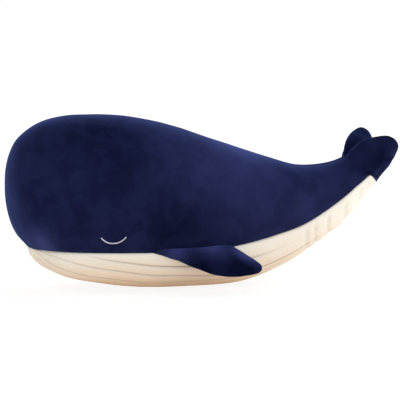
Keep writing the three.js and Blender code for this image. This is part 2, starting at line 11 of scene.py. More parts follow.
import bmesh
import bpy
from mathutils import Matrix, Vector, noise
from mathutils.bvhtree import BVHTree
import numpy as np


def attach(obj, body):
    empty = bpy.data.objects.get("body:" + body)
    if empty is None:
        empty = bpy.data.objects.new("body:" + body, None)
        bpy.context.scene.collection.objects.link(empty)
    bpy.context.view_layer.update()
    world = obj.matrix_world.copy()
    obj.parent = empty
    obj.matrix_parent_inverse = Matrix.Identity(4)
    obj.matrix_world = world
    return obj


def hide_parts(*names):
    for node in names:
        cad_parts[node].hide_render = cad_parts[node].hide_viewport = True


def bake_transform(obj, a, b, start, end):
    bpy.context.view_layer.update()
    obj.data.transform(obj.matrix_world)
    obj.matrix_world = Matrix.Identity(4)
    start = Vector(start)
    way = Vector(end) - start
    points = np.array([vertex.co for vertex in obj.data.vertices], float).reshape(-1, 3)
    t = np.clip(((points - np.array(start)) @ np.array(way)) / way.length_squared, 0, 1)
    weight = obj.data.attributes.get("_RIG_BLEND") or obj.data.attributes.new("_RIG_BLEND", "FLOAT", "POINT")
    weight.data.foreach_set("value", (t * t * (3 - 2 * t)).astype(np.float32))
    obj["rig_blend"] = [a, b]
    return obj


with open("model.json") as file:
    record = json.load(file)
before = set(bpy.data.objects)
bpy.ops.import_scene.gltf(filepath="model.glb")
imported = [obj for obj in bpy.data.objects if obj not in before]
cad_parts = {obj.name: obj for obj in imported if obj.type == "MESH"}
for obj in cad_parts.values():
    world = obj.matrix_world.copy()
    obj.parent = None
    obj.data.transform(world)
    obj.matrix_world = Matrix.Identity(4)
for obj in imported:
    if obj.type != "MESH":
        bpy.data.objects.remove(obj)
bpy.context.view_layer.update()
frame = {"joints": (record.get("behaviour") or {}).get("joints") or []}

# %% [markdown]
# The photograph shows the whale's left side, from 18 degrees in front of square and 7 degrees above
# the table. The camera's lens is long and far away, since nothing there narrows with distance.

# %% Camera
VIEW_TURN = math.radians(-18)
VIEW_RISE = math.radians(7)
CAMERA_DISTANCE = 10.0
SENSOR_WIDTH = 36
PICTURE_WIDTH = 0.608
AIM_RIGHT, AIM_UP = 0.0041, 0.1271

to_camera = Vector((math.sin(VIEW_TURN) * math.cos(VIEW_RISE),
                    -math.cos(VIEW_TURN) * math.cos(VIEW_RISE),
                    math.sin(VIEW_RISE)))
picture_right = Vector((math.cos(VIEW_TURN), math.sin(VIEW_TURN), 0))
picture_up = to_camera.cross(picture_right)
aim = picture_right * AIM_RIGHT + picture_up * AIM_UP


def link_object(name, data):
    """An object of a mesh, camera or lamp, in the scene."""
    thing = bpy.data.objects.new(name, data)
    bpy.context.scene.collection.objects.link(thing)
    return thing


def look_from(name, data, place, direction):
    """A camera or lamp that looks from a place in a direction."""
    thing = link_object(name, data)
    thing.location = place
    thing.rotation_mode = "QUATERNION"
    thing.rotation_quaternion = direction.to_track_quat("-Z", "Y")
    return thing


camera_data = bpy.data.cameras.new("camera")
camera_data.sensor_width = SENSOR_WIDTH
camera_data.lens = SENSOR_WIDTH * CAMERA_DISTANCE / PICTURE_WIDTH
camera_data.clip_end = 100
camera = look_from("camera", camera_data, aim + to_camera * CAMERA_DISTANCE, -to_camera)
bpy.context.scene.camera = camera
bpy.context.scene.view_settings.view_transform = "Standard"
print("camera lens", round(camera_data.lens, 1), "mm at", [round(x, 3) for x in camera.location])

# %% [markdown]
# ## The studio
# Some rays look at the background, and others only carry light. A helper tells them apart, so that the
# background can look white without lighting the whale too strongly.

# %% A floor and helpers for materials
FLOOR_SIDE = 60.0

floor_mesh = bpy.data.meshes.new("floor")
bm = bmesh.new()
bmesh.ops.create_grid(bm, x_segments=1, y_segments=1, size=FLOOR_SIDE / 2)
bm.to_mesh(floor_mesh)
bm.free()
floor = link_object("floor", floor_mesh)


def new_material(name):
    """A material with an empty node tree and its output."""
    material = bpy.data.materials.new(name)
    material.use_nodes = True
    material.node_tree.nodes.clear()
    output = material.node_tree.nodes.new("ShaderNodeOutputMaterial")
    return material, material.node_tree.nodes, material.node_tree.links, output


def add_node(nodes, kind, values=None, **settings):
    """A shader node with its settings and the values of its inputs."""
    node = nodes.new("ShaderNode" + kind)
    for setting, value in settings.items():
        setattr(node, setting, value)
    for socket_name, value in (values or {}).items():
        node.inputs[socket_name].default_value = value
    return node


def join(links, *routes):
    """Joins sockets. Each route is a node and its output, and the node and input that it leads to."""
    for source, output_name, target, input_name in routes:
        links.new(source.outputs[output_name], target.inputs[input_name])


def looking_rays(nodes, links):
    """1 for the rays that see the background, directly, mirrored or through glass, and 0 for light."""
    light_path = add_node(nodes, "LightPath")
    seen = light_path.outputs["Is Camera Ray"]
    for other in ("Is Glossy Ray", "Is Transmission Ray"):
        either = add_node(nodes, "Math", operation="MAXIMUM")
        links.new(seen, either.inputs[0])
        links.new(light_path.outputs[other], either.inputs[1])
        seen = either.outputs[0]
    return seen


print("floor", FLOOR_SIDE, "m wide")

# %% [markdown]
# To rays that look at it, the floor is a white glow plus a little of a real floor, so that the whale's
# soft shadow stays. To all others it is a pale floor, tan around the whale, which throws the warm light
# of the photograph on the underside of the belly.

# %% The floor's paint
FLOOR_GLOW = 0.87
FLOOR_SHADOW = 0.17
TAN_FLOOR = (0.76, 0.59, 0.45, 1)
WHITE_FLOOR = (0.88, 0.86, 0.82, 1)
TAN_REACH = (0.22, 0.42)
# To the rays that light the whale, the tan floor also glows in its own tint, though it is no lamp.
BOUNCE_GLOW = 0.42

floor_paint, nodes, links, output = new_material("studio_floor")
coords = add_node(nodes, "TexCoord")
from_whale = add_node(nodes, "VectorMath", operation="LENGTH")
reach = add_node(nodes, "MapRange", {"From Min": TAN_REACH[0], "From Max": TAN_REACH[1]},
                 interpolation_type="SMOOTHSTEP")
tone = add_node(nodes, "Mix", {"A": TAN_FLOOR, "B": WHITE_FLOOR}, data_type="RGBA")
bounce = add_node(nodes, "BsdfDiffuse")
bounce_glow = add_node(nodes, "Emission", {"Strength": BOUNCE_GLOW})
unseen = add_node(nodes, "AddShader")
shaded = add_node(nodes, "BsdfDiffuse", {"Color": (FLOOR_SHADOW, FLOOR_SHADOW, FLOOR_SHADOW, 1)})
glow = add_node(nodes, "Emission", {"Color": (FLOOR_GLOW, FLOOR_GLOW, FLOOR_GLOW, 1)})
white = add_node(nodes, "AddShader")
choose = add_node(nodes, "MixShader")
links.new(looking_rays(nodes, links), choose.inputs["Fac"])
join(links, (coords, "Object", from_whale, 0), (from_whale, "Value", reach, "Value"),
     (reach, "Result", tone, "Factor"), (tone, "Result", bounce, "Color"),
     (tone, "Result", bounce_glow, "Color"), (bounce, 0, unseen, 0), (bounce_glow, 0, unseen, 1),
     (glow, 0, white, 0), (shaded, 0, white, 1), (unseen, 0, choose, 1), (white, 0, choose, 2),
     (choose, 0, output, "Surface"))
floor_mesh.materials.append(floor_paint)
print("floor paint", len(nodes), "nodes")

# %% [markdown]
# The world is an even white, a little weaker as a light than as a background. Two large soft lamps,
# one beyond the tail and one behind the whale, draw the light edge along its back.

# %% World and lamps
WORLD_STRENGTH = 0.88
LAMPS_LOOK_AT = Vector((0, 0, 0.12))

world = bpy.data.worlds.new("studio")
bpy.context.scene.world = world
world.use_nodes = True
nodes, links = world.node_tree.nodes, world.node_tree.links
sky = nodes["Background"]
sky.inputs["Color"].default_value = (1, 1, 1, 1)
sky_strength = add_node(nodes, "Math", {1: 1 - WORLD_STRENGTH, 2: WORLD_STRENGTH}, operation="MULTIPLY_ADD")
links.new(looking_rays(nodes, links), sky_strength.inputs[0])
links.new(sky_strength.outputs[0], sky.inputs["Strength"])


def soft_lamp(name, place, size, watts):
    """A square area lamp that looks at the middle of the whale."""
    data = bpy.data.lights.new(name, "AREA")
    data.shape = "SQUARE"
    data.size = size
    data.energy = watts
    look_from(name, data, place, LAMPS_LOOK_AT - Vector(place))


soft_lamp("lamp_right", (2.0, -0.6, 1.5), 1.2, 15)
soft_lamp("lamp_behind", (1.2, 1.8, 1.6), 1.4, 22)
print("world strength", WORLD_STRENGTH, "and 2 soft lamps")

# %% [markdown]
# ## The whale's own curves
# Rings of the body hang on four curves that run from the nose to the tail: the back, the widest
# flank, the belly seam and the keel. The table gives them at 19 stations as shares of the length,
# height and half width. It is the CAD model's own table, so that the cloth lies on the solids.

# %% Rails from the nose to the tail
MM = 0.001
LENGTH, HEIGHT, HALF_WIDTH = 590 * MM, 266 * MM, 121 * MM
NOSE_X = -301.5657 * MM
RESTING_FLAT = 0.5 * MM
NOSE_TUCK = 3.4 * MM
CHIN, TAIL = 4, 18
DRAWN_IN_FROM, DRAWN_IN_TO = 0.02, 0.08
# Each row: back along, up; flank along, up, out; seam along, up, out; keel along, up
STATIONS = [
    (0, .62, 0, .62, 0, 0, .62, 0, 0, .62),
    (.006, .748, .006, .613, .298, .006, .5, 0, .006, .5),
    (.028, .857, .019, .602, .479, .015, .406, 0, .015, .406),
    (.06, .914, .037, .586, .636, .034, .312, 0, .034, .312),
    (.099, .96, .064, .568, .769, .064, .248, 0, .064, .248),
    (.136, .983, .093, .549, .851, .07, .25, .207, .068, .211),
    (.178, .994, .127, .534, .909, .087, .253, .455, .082, .167),
    (.222, .995, .173, .519, .955, .115, .256, .686, .109, .122),
    (.263, .991, .224, .508, .983, .168, .256, .86, .163, .072),
    (.317, .98, .292, .496, 1, .241, .252, .926, .237, .039),
    (.385, .951, .376, .485, .992, .342, .246, .938, .342, 0),
    (.466, .9, .461, .47, .959, .444, .244, .901, .444, 0),
    (.547, .836, .546, .455, .901, .537, .252, .826, .537, 0),
    (.629, .773, .631, .444, .818, .614, .273, .736, .622, .015),
    (.71, .712, .707, .447, .711, .69, .305, .628, .702, .068),
    (.783, .665, .778, .466, .595, .763, .346, .529, .778, .15),
    (.846, .662, .842, .504, .479, .831, .414, .43, .846, .239),
    (.888, .679, .893, .553, .38, .888, .485, .347, .905, .329),
    (.914, .703, .934, .602, .293, .966, .605, .231, 1, .545),
]


def between(value, start, end):
    """0 up to start, 1 from end on, and a smooth step from one to the other."""
    share = min(max((value - start) / (end - start), 0), 1)
    return share * share * (3 - 2 * share)


def placed(along, across, up):
    """A point of the table in metres, as in the CAD model, but the cloth of the nose is drawn in a little."""
    drawn_in = NOSE_TUCK * (1 - between(along, DRAWN_IN_FROM, DRAWN_IN_TO))
    return Vector((along * LENGTH + NOSE_X + drawn_in, across * HALF_WIDTH, up * HEIGHT - RESTING_FLAT))


def rail(points, before=None):
    """A smooth curve through points. It takes a place counted in points, and a mirrored point before
    the first makes the curve leave the nose as its other half does."""
    path = ([before] if before else [2 * points[0] - points[1]]) + points
    path = path + [2 * points[-1] - points[-2]]

    def at(place):
        i = min(max(int(place), 0), len(points) - 2)
        t = place - i
        p0, p1, p2, p3 = path[i:i + 4]
        d1 = max((p2 - p1).length, 1e-7) ** 0.5
        d0 = max((p1 - p0).length, 1e-7) ** 0.5
        d2 = max((p3 - p2).length, 1e-7) ** 0.5
        leave = ((p1 - p0) / d0 - (p2 - p0) / (d0 + d1) + (p2 - p1) / d1) * d1
        arrive = ((p2 - p1) / d1 - (p3 - p1) / (d1 + d2) + (p3 - p2) / d2) * d1
        s, c = t * t, t * t * t
        return (p1 * (2 * c - 3 * s + 1) + leave * (c - 2 * s + t)
                + p2 * (3 * s - 2 * c) + arrive * (c - s))

    return at


def on_side(p, side):
    """A point of the right side, which stays there with side 1 and goes to the left side with -1."""
    return Vector((p.x, side * p.y, p.z))


def on_midplane(p):
    """A point moved sideways onto the whale's middle plane."""
    return Vector((p.x, 0, p.z))


back_points = [placed(s[0], 0, s[1]) for s in STATIONS]
flank_points = [placed(s[2], s[4], s[3]) for s in STATIONS]
seam_points = [placed(s[5], s[7], s[6]) for s in STATIONS]
keel_points = [placed(s[8], 0, s[9]) for s in STATIONS]
back_rail = rail(back_points, keel_points[1])
flank_rail = rail(flank_points, on_side(flank_points[1], -1))
face_rail = rail(keel_points[:CHIN + 1], back_points[1])
seam_rail = rail(seam_points[CHIN:], on_side(seam_points[CHIN + 1], -1))
keel_rail = rail(keel_points[CHIN:])
print("rails from", [round(x, 3) for x in back_rail(0)], "to", [round(x, 3) for x in back_rail(TAIL)])

# %% [markdown]
# ## Cloth sheets
# Every velour panel starts as a flat bmesh grid, as cloth does. A function then says where each
# point of the grid lies on the toy. The grid also remembers how far each point is from its first
# and last edge, because the edges of a sewn panel turn in, and the cloth puckers beside them.

# %% Lay a grid on the whale
SAME_ROW = 1e-6
KEPT_VALUES = ("row", "from_first_edge", "from_last_edge")


def squared_arc(turn, squareness):
    """How far out and how far down a quarter of a squared ellipse is at a share of its turn."""
    out = math.cos(turn * math.pi / 2)
    down = math.sin(turn * math.pi / 2)
    size = (abs(out) ** squareness + abs(down) ** squareness) ** (-1 / squareness)
    return out * size, down * size


def crowd(share, amount):
    """Crowds evenly spaced shares towards 0 and 1, where a panel's edges need more points."""
    return share - amount * math.sin(2 * math.pi * share) / (2 * math.pi)


def lay_sheet(rows, columns, place, flip):
    """A grid of cloth whose row i and column j lies at place(i / rows)(j / columns)."""
    sheet = bmesh.new()
    bmesh.ops.create_grid(sheet, x_segments=rows, y_segments=columns, size=0.5)
    row_layer, first_layer, last_layer = [sheet.verts.layers.float.new(name) for name in KEPT_VALUES]
    lines = [[None] * (columns + 1) for unused in range(rows + 1)]
    for v in sheet.verts:
        lines[round((v.co.x + 0.5) * rows)][round((v.co.y + 0.5) * columns)] = v
    for i, line in enumerate(lines):
        across = place(i / rows)
        for j, v in enumerate(line):
            v.co = across(j / columns)
            v[row_layer] = i / rows
        reach = 0.0
        for j, v in enumerate(line):
            reach += (v.co - line[j - 1].co).length if j else 0.0
            v[first_layer] = reach
        for v in line:
            v[last_layer] = reach - v[first_layer]
    if flip:
        bmesh.ops.reverse_faces(sheet, faces=sheet.faces)
    return sheet


def rows_on_side(line_of_row, side, crowding):
    """The place function of a sheet on one side, whose rows lie along the line that line_of_row gives."""
    def place(row):
        line = line_of_row(row)
        return lambda column: on_side(line(crowd(column, crowding)), side)

    return place


def kept_layers(sheet):
    """Where a sheet keeps each point's row and its distances from the first and the last edge."""
    return [sheet.verts.layers.float[name] for name in KEPT_VALUES]


def one_row(sheet, row):
    """The points of one row of a sheet, from its first edge to its last."""
    row_layer, first_layer, unused = kept_layers(sheet)
    found = [v for v in sheet.verts if abs(v[row_layer] - row) < SAME_ROW]
    return sorted(found, key=lambda v: v[first_layer])


print("a squared quarter arc at half its turn is", [round(x, 3) for x in squared_arc(0.5, 2.4)])

# %% [markdown]
# ## Needle and filling
# A sewn edge pulls the cloth in, the cloth swells and puckers beside it, and the loose filling makes
# soft lumps. Each of these is a height, and a sheet's points move along their normals by their sum.
# A cloth simulation could make such forms too, but it would also move the outline, so the heights
# are written as functions.

# %% Relief
PUCKER_HEIGHT = 50 * MM


def push(sheet, how_far):
    """Moves every point of a sheet along its normal, by how_far(point, from_first, from_last, row)."""
    sheet.normal_update()
    row_layer, first_layer, last_layer = kept_layers(sheet)
    moves = [(v, v.normal * how_far(v.co, v[first_layer], v[last_layer], v[row_layer]))
             for v in sheet.verts]
    for v, move in moves:
        v.co += move


def fade(distance, width):
    """1 at an edge, falling smoothly to nothing about two widths away."""
    return math.exp(-(distance / width) ** 2)


def soft_edge(distance, tuck, tuck_width, puff, puff_width):
    """A sewn edge: the cloth is pulled in at the stitches and swells a little beside them."""
    swell = (distance / puff_width) * math.exp(1 - distance / puff_width)
    return puff * swell - tuck * fade(distance, tuck_width)


def lumps(point, size, seed):
    """Soft unevenness of the filling, between -1 and 1, with lumps of about the given size."""
    return noise.noise(point / size + Vector((seed, 3.7 * seed, 0.3)))


def seam_puckers(point, distance, spacing, reach, seed):
    """Small gathers that leave a seam at right angles and die away from it."""
    along = (point.x + 0.8 * abs(point.y)) / spacing
    wave = noise.noise(Vector((along, seed, point.z / PUCKER_HEIGHT)))
    return wave * math.exp(-distance / reach)


print("a sewn edge is tucked in by", round(-soft_edge(0, 1.3, 1.6, 0.8, 9), 2), "mm at its stitches")

# %% [markdown]
# ## Strokes, painted light and shade, and thickness
# A hand that strokes velour lays its pile over, and each stroke stays as a lighter or darker place.
# Beside the strokes, lighter and darker marks are painted light and shade: lit rims, highlights and
# shaded hollows. All are kept on the cloth, as a value at each point. At last the sheet becomes an
# object, and a Solidify modifier gives it the cloth's thickness on the inside, so its outer face stays.

# %% Stroke, paint light and shade, and finish a sheet
STROKE_UNEVENNESS, STROKE_PATCH, DARKEST_STROKE = 0.09, 75 * MM, -0.2
JOINED, TOO_SHORT = 0.02 * MM, 0.005 * MM


def marks_on_side(strokes, side):
    """Single marks on one side, strokes and painted light and shade, as (place, size, strength), from places
    and sizes in millimetres.
    """
    return [(Vector((x * MM, side * y * MM, z * MM)), size * MM, strength)
            for x, y, z, size, strength in strokes]


def stroke_and_paint_light(sheet, base, marks, seed):
    """Keeps how light the cloth is at each point: a base, soft unevenness, and single marks of strokes and
    painted light and shade.
    """
    strokes_and_light_layer = sheet.verts.layers.float.new("strokes_and_painted_light")
    for v in sheet.verts:
        value = base + STROKE_UNEVENNESS * noise.noise(v.co / STROKE_PATCH + Vector((seed, 0, 0)))
        for place, size, strength in marks:
            value += strength * math.exp(-((v.co - place).length / size) ** 2)
        v[strokes_and_light_layer] = min(max(value, DARKEST_STROKE), 1)


def finish_sheet(sheet, name, thickness, material):
    """Makes a piece of a sheet, with the cloth's thickness added inwards."""
    bmesh.ops.remove_doubles(sheet, verts=sheet.verts, dist=JOINED)
    bmesh.ops.dissolve_degenerate(sheet, edges=sheet.edges, dist=TOO_SHORT)
    for edge in sheet.edges:
        if edge.is_boundary:
            edge.smooth = False
    for face in sheet.faces:
        face.smooth = True
    mesh = bpy.data.meshes.new(name)
    sheet.to_mesh(mesh)
    sheet.free()
    mesh.materials.append(material)
    piece = link_object(name, mesh)
    wall = piece.modifiers.new("cloth thickness", "SOLIDIFY")
    wall.thickness = thickness
    wall.offset = -1
    print(name, len(mesh.vertices), "points", len(mesh.polygons), "faces")
    return piece


print("an unstroked sheet is unevenly light by", STROKE_UNEVENNESS)

# %% [markdown]
# ## Velour
# Velour is a knitted cloth with a short dense pile. Seen straight on it is dark, and at a grazing
# angle the tips of the pile catch the light, which gives the bluish rim along the whale's edges. The
# shader's own sheen does this. The group makes what both colours share: the tiny bumps of the pile,
# and small patches that are brushed one way or the other.

# %% Velour pile group
pile_group = bpy.data.node_groups.new("velour_pile", "ShaderNodeTree")
for socket_name, kind, value in (("Vector", "NodeSocketVector", None),
                                 ("Pile Scale", "NodeSocketFloat", 1400.0),
                                 ("Brushed Scale", "NodeSocketFloat", 34.0)):
    socket = pile_group.interface.new_socket(socket_name, in_out="INPUT", socket_type=kind)
    if value is not None:
        socket.default_value = value
for socket_name in ("Pile Height", "Brushed", "Speckle"):
    pile_group.interface.new_socket(socket_name, in_out="OUTPUT", socket_type="NodeSocketFloat")
group_in = pile_group.nodes.new("NodeGroupInput")
group_out = pile_group.nodes.new("NodeGroupOutput")
nodes = pile_group.nodes
pile_noise = add_node(nodes, "TexNoise", {"Detail": 3, "Roughness": 0.6})
brushed_noise = add_node(nodes, "TexNoise", {"Detail": 2, "Roughness": 0.45, "Distortion": 0.8})
brushed_range = add_node(nodes, "MapRange", {"From Min": 0.36, "From Max": 0.66},
                         interpolation_type="SMOOTHSTEP")
speckle_range = add_node(nodes, "MapRange", {"From Min": 0.3, "From Max": 0.7})
for texture, scale in ((pile_noise, "Pile Scale"), (brushed_noise, "Brushed Scale")):
    join(pile_group.links, (group_in, "Vector", texture, "Vector"), (group_in, scale, texture, "Scale"))
join(pile_group.links, (pile_noise, "Fac", group_out, "Pile Height"), (pile_noise, "Fac", speckle_range, 0),
     (speckle_range, "Result", group_out, "Speckle"), (brushed_noise, "Fac", brushed_range, 0),
     (brushed_range, "Result", group_out, "Brushed"))
print("velour pile group", len(pile_group.nodes), "nodes")

# %% [markdown]
# The two velours differ only in their values. Their deep and brushed shades are mixed by the values
# kept on the sheet, strokes together with painted light and shade, and more faintly by the group's
# patches. So the two shades also stand for shaded and lit cloth. The navy has a strong blue sheen,
# and the cream hardly any.

# %% Navy and cream velour
BRUSHED_PATCHES = 0.11


def velour(name, deep, brushed, sheen, sheen_tint, sheen_roughness, pile_depth, speckle):
    """A velour of two near shades, mixed by strokes, painted light and shade and patches, darkened by pile
    speckle.
    """
    material, nodes, links, output = new_material(name)
    coords = add_node(nodes, "TexCoord")
    pile = add_node(nodes, "Group", node_tree=pile_group)
    strokes_and_painted_light = add_node(nodes, "Attribute", attribute_name="strokes_and_painted_light")
    half_brushed = add_node(nodes, "Math", {1: BRUSHED_PATCHES}, operation="MULTIPLY_ADD", use_clamp=True)
    shade = add_node(nodes, "Mix", {"A": (*deep, 1), "B": (*brushed, 1)}, data_type="RGBA")
    grain = add_node(nodes, "Mix", {"Factor": speckle}, data_type="RGBA", blend_type="MULTIPLY")
    bump = add_node(nodes, "Bump", {"Strength": 0.6, "Distance": pile_depth})
    cloth = add_node(nodes, "BsdfPrincipled", {
        "Roughness": 0.95, "Specular IOR Level": 0.0, "Sheen Weight": sheen,
        "Sheen Roughness": sheen_roughness, "Sheen Tint": (*sheen_tint, 1)})
    join(links, (coords, "Object", pile, "Vector"), (pile, "Brushed", half_brushed, 0),
         (strokes_and_painted_light, "Fac", half_brushed, 2), (half_brushed, 0, shade, "Factor"),
         (shade, "Result", grain, "A"), (pile, "Speckle", grain, "B"),
         (pile, "Pile Height", bump, "Height"), (grain, "Result", cloth, "Base Color"),
         (bump, "Normal", cloth, "Normal"), (cloth, 0, output, "Surface"))
    return material, nodes, links, cloth, grain


navy_velour, *unused = velour("navy_velour", (0.0030, 0.0045, 0.022), (0.0340, 0.0425, 0.150),
                              0.31, (0.24, 0.36, 1.0), 0.36, 0.35 * MM, 0.25)
# The cream's deep shade also serves as the painted shade of its underside and chin.
cream_velour, cream_nodes, cream_links, cream_cloth, cream_grain = velour(
    "cream_velour", (0.72, 0.64, 0.53), (0.86, 0.845, 0.79), 0.10, (1.0, 0.98, 0.95), 0.4, 0.3 * MM, 0.1)
print("velours:", navy_velour.name, cream_velour.name)

# %% [markdown]
# ## Side panels
# Each side is one navy panel from the back seam over the flank to the belly seam. Its rows are half
# rings round the body, and each half ring is two squared arcs that meet on the flank.

# %% Half rings
BACK_SQUARENESS, FLANK_SQUARENESS = 2.15, 2.4


def under_flank(station):
    """How square a ring is below the flank. At the belly's cut end the cloth is stretched straight."""
    return FLANK_SQUARENESS - 1.25 * between(station, 16.8, 18) + 0.45 * between(station, 19, 20.4)


def half_ring(middle, bulge, first, last, end_out, upper, lower):
    """Half a ring from its first point (0) over its bulge (0.5) to its last (1), which stands out from
    the middle by end_out of the bulge."""
    end_down = (1 - end_out ** lower) ** (1 / lower)
    end_turn = math.atan2(end_down, end_out) / (math.pi / 2)
    to_last = (last - middle - bulge * end_out) / end_down

    def at(share):
        if share <= 0.5:
            out, down = squared_arc(1 - 2 * share, upper)
            return middle + (first - middle) * down + bulge * out
        out, down = squared_arc((2 * share - 1) * end_turn, lower)
        return middle + to_last * down + bulge * out

    return at


def flank_ring(station):
    """The right side of a ring, from the back (0) over the flank (0.5) to the belly seam (1)."""
    widest = flank_rail(station)
    end = face_rail(station) if station < CHIN else seam_rail(station - CHIN)
    bulge = Vector((0, max(widest.y, 1e-9), 0))
    end_out = min(max(end.y, 0) / bulge.y, 1)
    last = on_midplane(end) + bulge * end_out
    return half_ring(on_midplane(widest), bulge, back_rail(station), last, end_out, BACK_SQUARENESS,
                     under_flank(station))


print("the half ring at the chin ends", round(flank_ring(CHIN)(1).z, 4), "m above the floor")

# %% [markdown]
# The seam over the back and the face is flat, and the belly seam pulls the cloth in deeply. On the
# fluke both edges are turned alike, with a hollow beside the trailing edge, and the cloth lies flat
# along the belly's cut end.

# %% Relief of the navy cloth
FLUKE_TIP = 23
# Each seam: how deep and how wide the cloth is tucked in, how high and how wide it swells
FLAT_SEAM = (0.15 * MM, 1.2 * MM, 0, 10 * MM)
DEEP_SEAM = (1.3 * MM, 1.6 * MM, 0.8 * MM, 9 * MM)
LEADING_SEAM = (0.8 * MM, 2.0 * MM, 0.4 * MM, 7 * MM)
OUTER_TRAILING_SEAM = (0.9 * MM, 1.8 * MM, 0.3 * MM, 4 * MM)


def navy_relief(side, station_at):
    """The turned edges, puckers and lumps of a navy panel whose rows lie at station_at(row)."""
    def how_far(point, from_back, from_seam, row):
        station = station_at(row)
        belly_seam = between(station, CHIN - 0.4, CHIN + 0.4)
        fluke = between(station, 17.2, 18.6)
        tip = between(station, FLUKE_TIP - 0.7, FLUKE_TIP - 0.1)
        body = (soft_edge(from_back, *FLAT_SEAM)
                + (1 - belly_seam) * soft_edge(from_seam, *FLAT_SEAM)
                + belly_seam * soft_edge(from_seam, *DEEP_SEAM)
                + belly_seam * 0.5 * MM * seam_puckers(point, from_seam, 11 * MM, 12 * MM, side)
                + 0.9 * MM * lumps(point, 70 * MM, side)
                + 0.35 * MM * lumps(point, 28 * MM, 5 + side))
        lobe = between(station, 19.0, 20.0)
        leaf = (soft_edge(from_back, *LEADING_SEAM)
                + soft_edge(from_seam, *OUTER_TRAILING_SEAM)
                - lobe * 2.2 * MM * fade(from_seam - 11 * MM, 5 * MM)
                + lobe * 0.25 * MM * seam_puckers(point, from_seam, 9 * MM, 8 * MM, 11 + side)
                + 0.6 * MM * (0.3 + 0.7 * lobe) * lumps(point, 24 * MM, 11 + side))
        cut = between(station, 17.2, 17.8) * (1 - between(station, 19, 19.5))
        return (body * (1 - fluke) + leaf * fluke) * (1 - tip) * (1 - cut * fade(from_seam, 10 * MM))
    return how_far


print("the belly seam is tucked in by", round(DEEP_SEAM[0] / MM, 1), "mm")

# %% [markdown]
# A side panel is laid from the nose to just before the flukes. The last part of the tail is a piece
# of its own, because this piece bends with the tail and that one bends with the flukes. Both end on
# the same ring, so no line shows between them.

# %% Navy side panels
SIDE_END = 16.5
CLOTH, THIN_CLOTH = 1.6 * MM, 0.8 * MM
SIDE_ROWS, SIDE_COLUMNS, SIDE_CROWDING = 220, 96, 0.7


def nose_to_tail(row):
    """The station of a row of the side sheet, with short steps at the round nose."""
    return SIDE_END * (0.35 * row + 0.65 * row ** 1.3)


SIDE_LIGHTNESS = 0.19
# Each mark, mostly painted light and shade and partly strokes of the pile: x, y, z and size in millimetres,
# and how much lighter it is
SIDE_PAINTED_LIGHT_AND_STROKES = [(-262, 60, 80, 24, 0.8), (60, 95, 150, 75, 0.23), (-20, 70, 205, 70, 0.16),
                (60, 30, 200, 45, 0.26), (-170, 40, 250, 60, -0.2), (-290, 60, 150, 40, -0.05),
                (-200, 85, 72, 34, 0.1), (150, 70, 120, 30, 0.18), (-70, 110, 100, 55, -0.18),
                (-150, 115, 170, 60, -0.05), (278, 45, 186, 20, -0.2), (297, 38, 178, 8, 0.5),
                (299, 54, 194, 7, 0.5), (205, 46, 156, 28, 0.24), (222, 48, 138, 14, -0.15),
                (52, 14, 206, 34, 0.5)]
SIDES = (("right", 1), ("left", -1))
side_pieces = {}
cheeks = {}
side_ends = {}
for name, side in SIDES:
    place = rows_on_side(lambda row: flank_ring(nose_to_tail(row)), side, SIDE_CROWDING)
    sheet = lay_sheet(SIDE_ROWS, SIDE_COLUMNS, place, side < 0)
    push(sheet, navy_relief(side, nose_to_tail))
    for v in sheet.verts:
        v.co.y = side * max(side * v.co.y, 0)
    side_ends[name] = [v.co.copy() for v in one_row(sheet, 1)]
    cheeks[name] = BVHTree.FromBMesh(sheet)
    stroke_and_paint_light(sheet, SIDE_LIGHTNESS, marks_on_side(SIDE_PAINTED_LIGHT_AND_STROKES, side), side)
    side_pieces[name] = finish_sheet(sheet, f"{name}_side_velour", CLOTH, navy_velour)
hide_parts("right_side_panel", "body_stuffing")
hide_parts("left_side_panel")
print("sides end at x", round(back_rail(SIDE_END).x, 4))

# %% [markdown]
# ## Tail end and flukes
# Behind the last ring the side panel runs on into the outer face of a tail fluke. The rings there
# hang on the fluke's leading edge, its crown and its trailing edge instead. The belly ends in a
# straight cut, and the navy cloth wraps round it. A second panel closes the fluke on its inner
# face, and meets the other fluke's in the fork between them.

# %% Fluke edges
def in_mm(points):
    """Points given in millimetres, in metres."""
    return [Vector(p) * MM for p in points]


FLUKE_END = (293.2, 68.6, 216.4)
leading_edge = rail(in_mm([(237, 0, 187), (243, 16, 200.5), (253, 33, 212.5), (267, 49, 219.5),
                           (281, 61, 222), FLUKE_END]))
trailing_edge = rail(in_mm([(288, 0, 145), (292.5, 18, 160), (297.3, 38, 176), (299.8, 54, 191.5),
                            (301, 63, 204.5), FLUKE_END]))
fluke_middle = rail(in_mm([(225, 0, 147), (249, 0, 160), (265.5, 8, 172.7), (273, 25.5, 186),
                           (282.7, 43.5, 197.7), (291, 57.5, 206.7), FLUKE_END]))
fluke_crown = rail(in_mm([(225, 46, 147), (249, 35.5, 160), (259, 30, 168), (268, 36, 178),
                          (279, 47, 190), (288, 58, 203), FLUKE_END]))
INNER_FACE = Vector((0.485059, -0.649448, 0.585607))
INNER_SWELL = 10 * MM
EDGE_STEPS = 5
CUT_LIFT = Vector((4, 0, 4)) * MM
BELLY_SQUARENESS = 2.2


def belly_squareness(station):
    """The belly is round, and flattens out at its cut end."""
    return BELLY_SQUARENESS - 0.9 * between(station, 16.6, TAIL)


def belly_end(share):
    """The belly's cut end, from the seam (0) to its middle (1)."""
    seam = seam_rail(TAIL - CHIN)
    centre = on_midplane(seam)
    out, down = squared_arc(share, belly_squareness(TAIL))
    p = centre + (keel_rail(TAIL - CHIN) - centre) * down
    return Vector((p.x, seam.y * out, p.z))


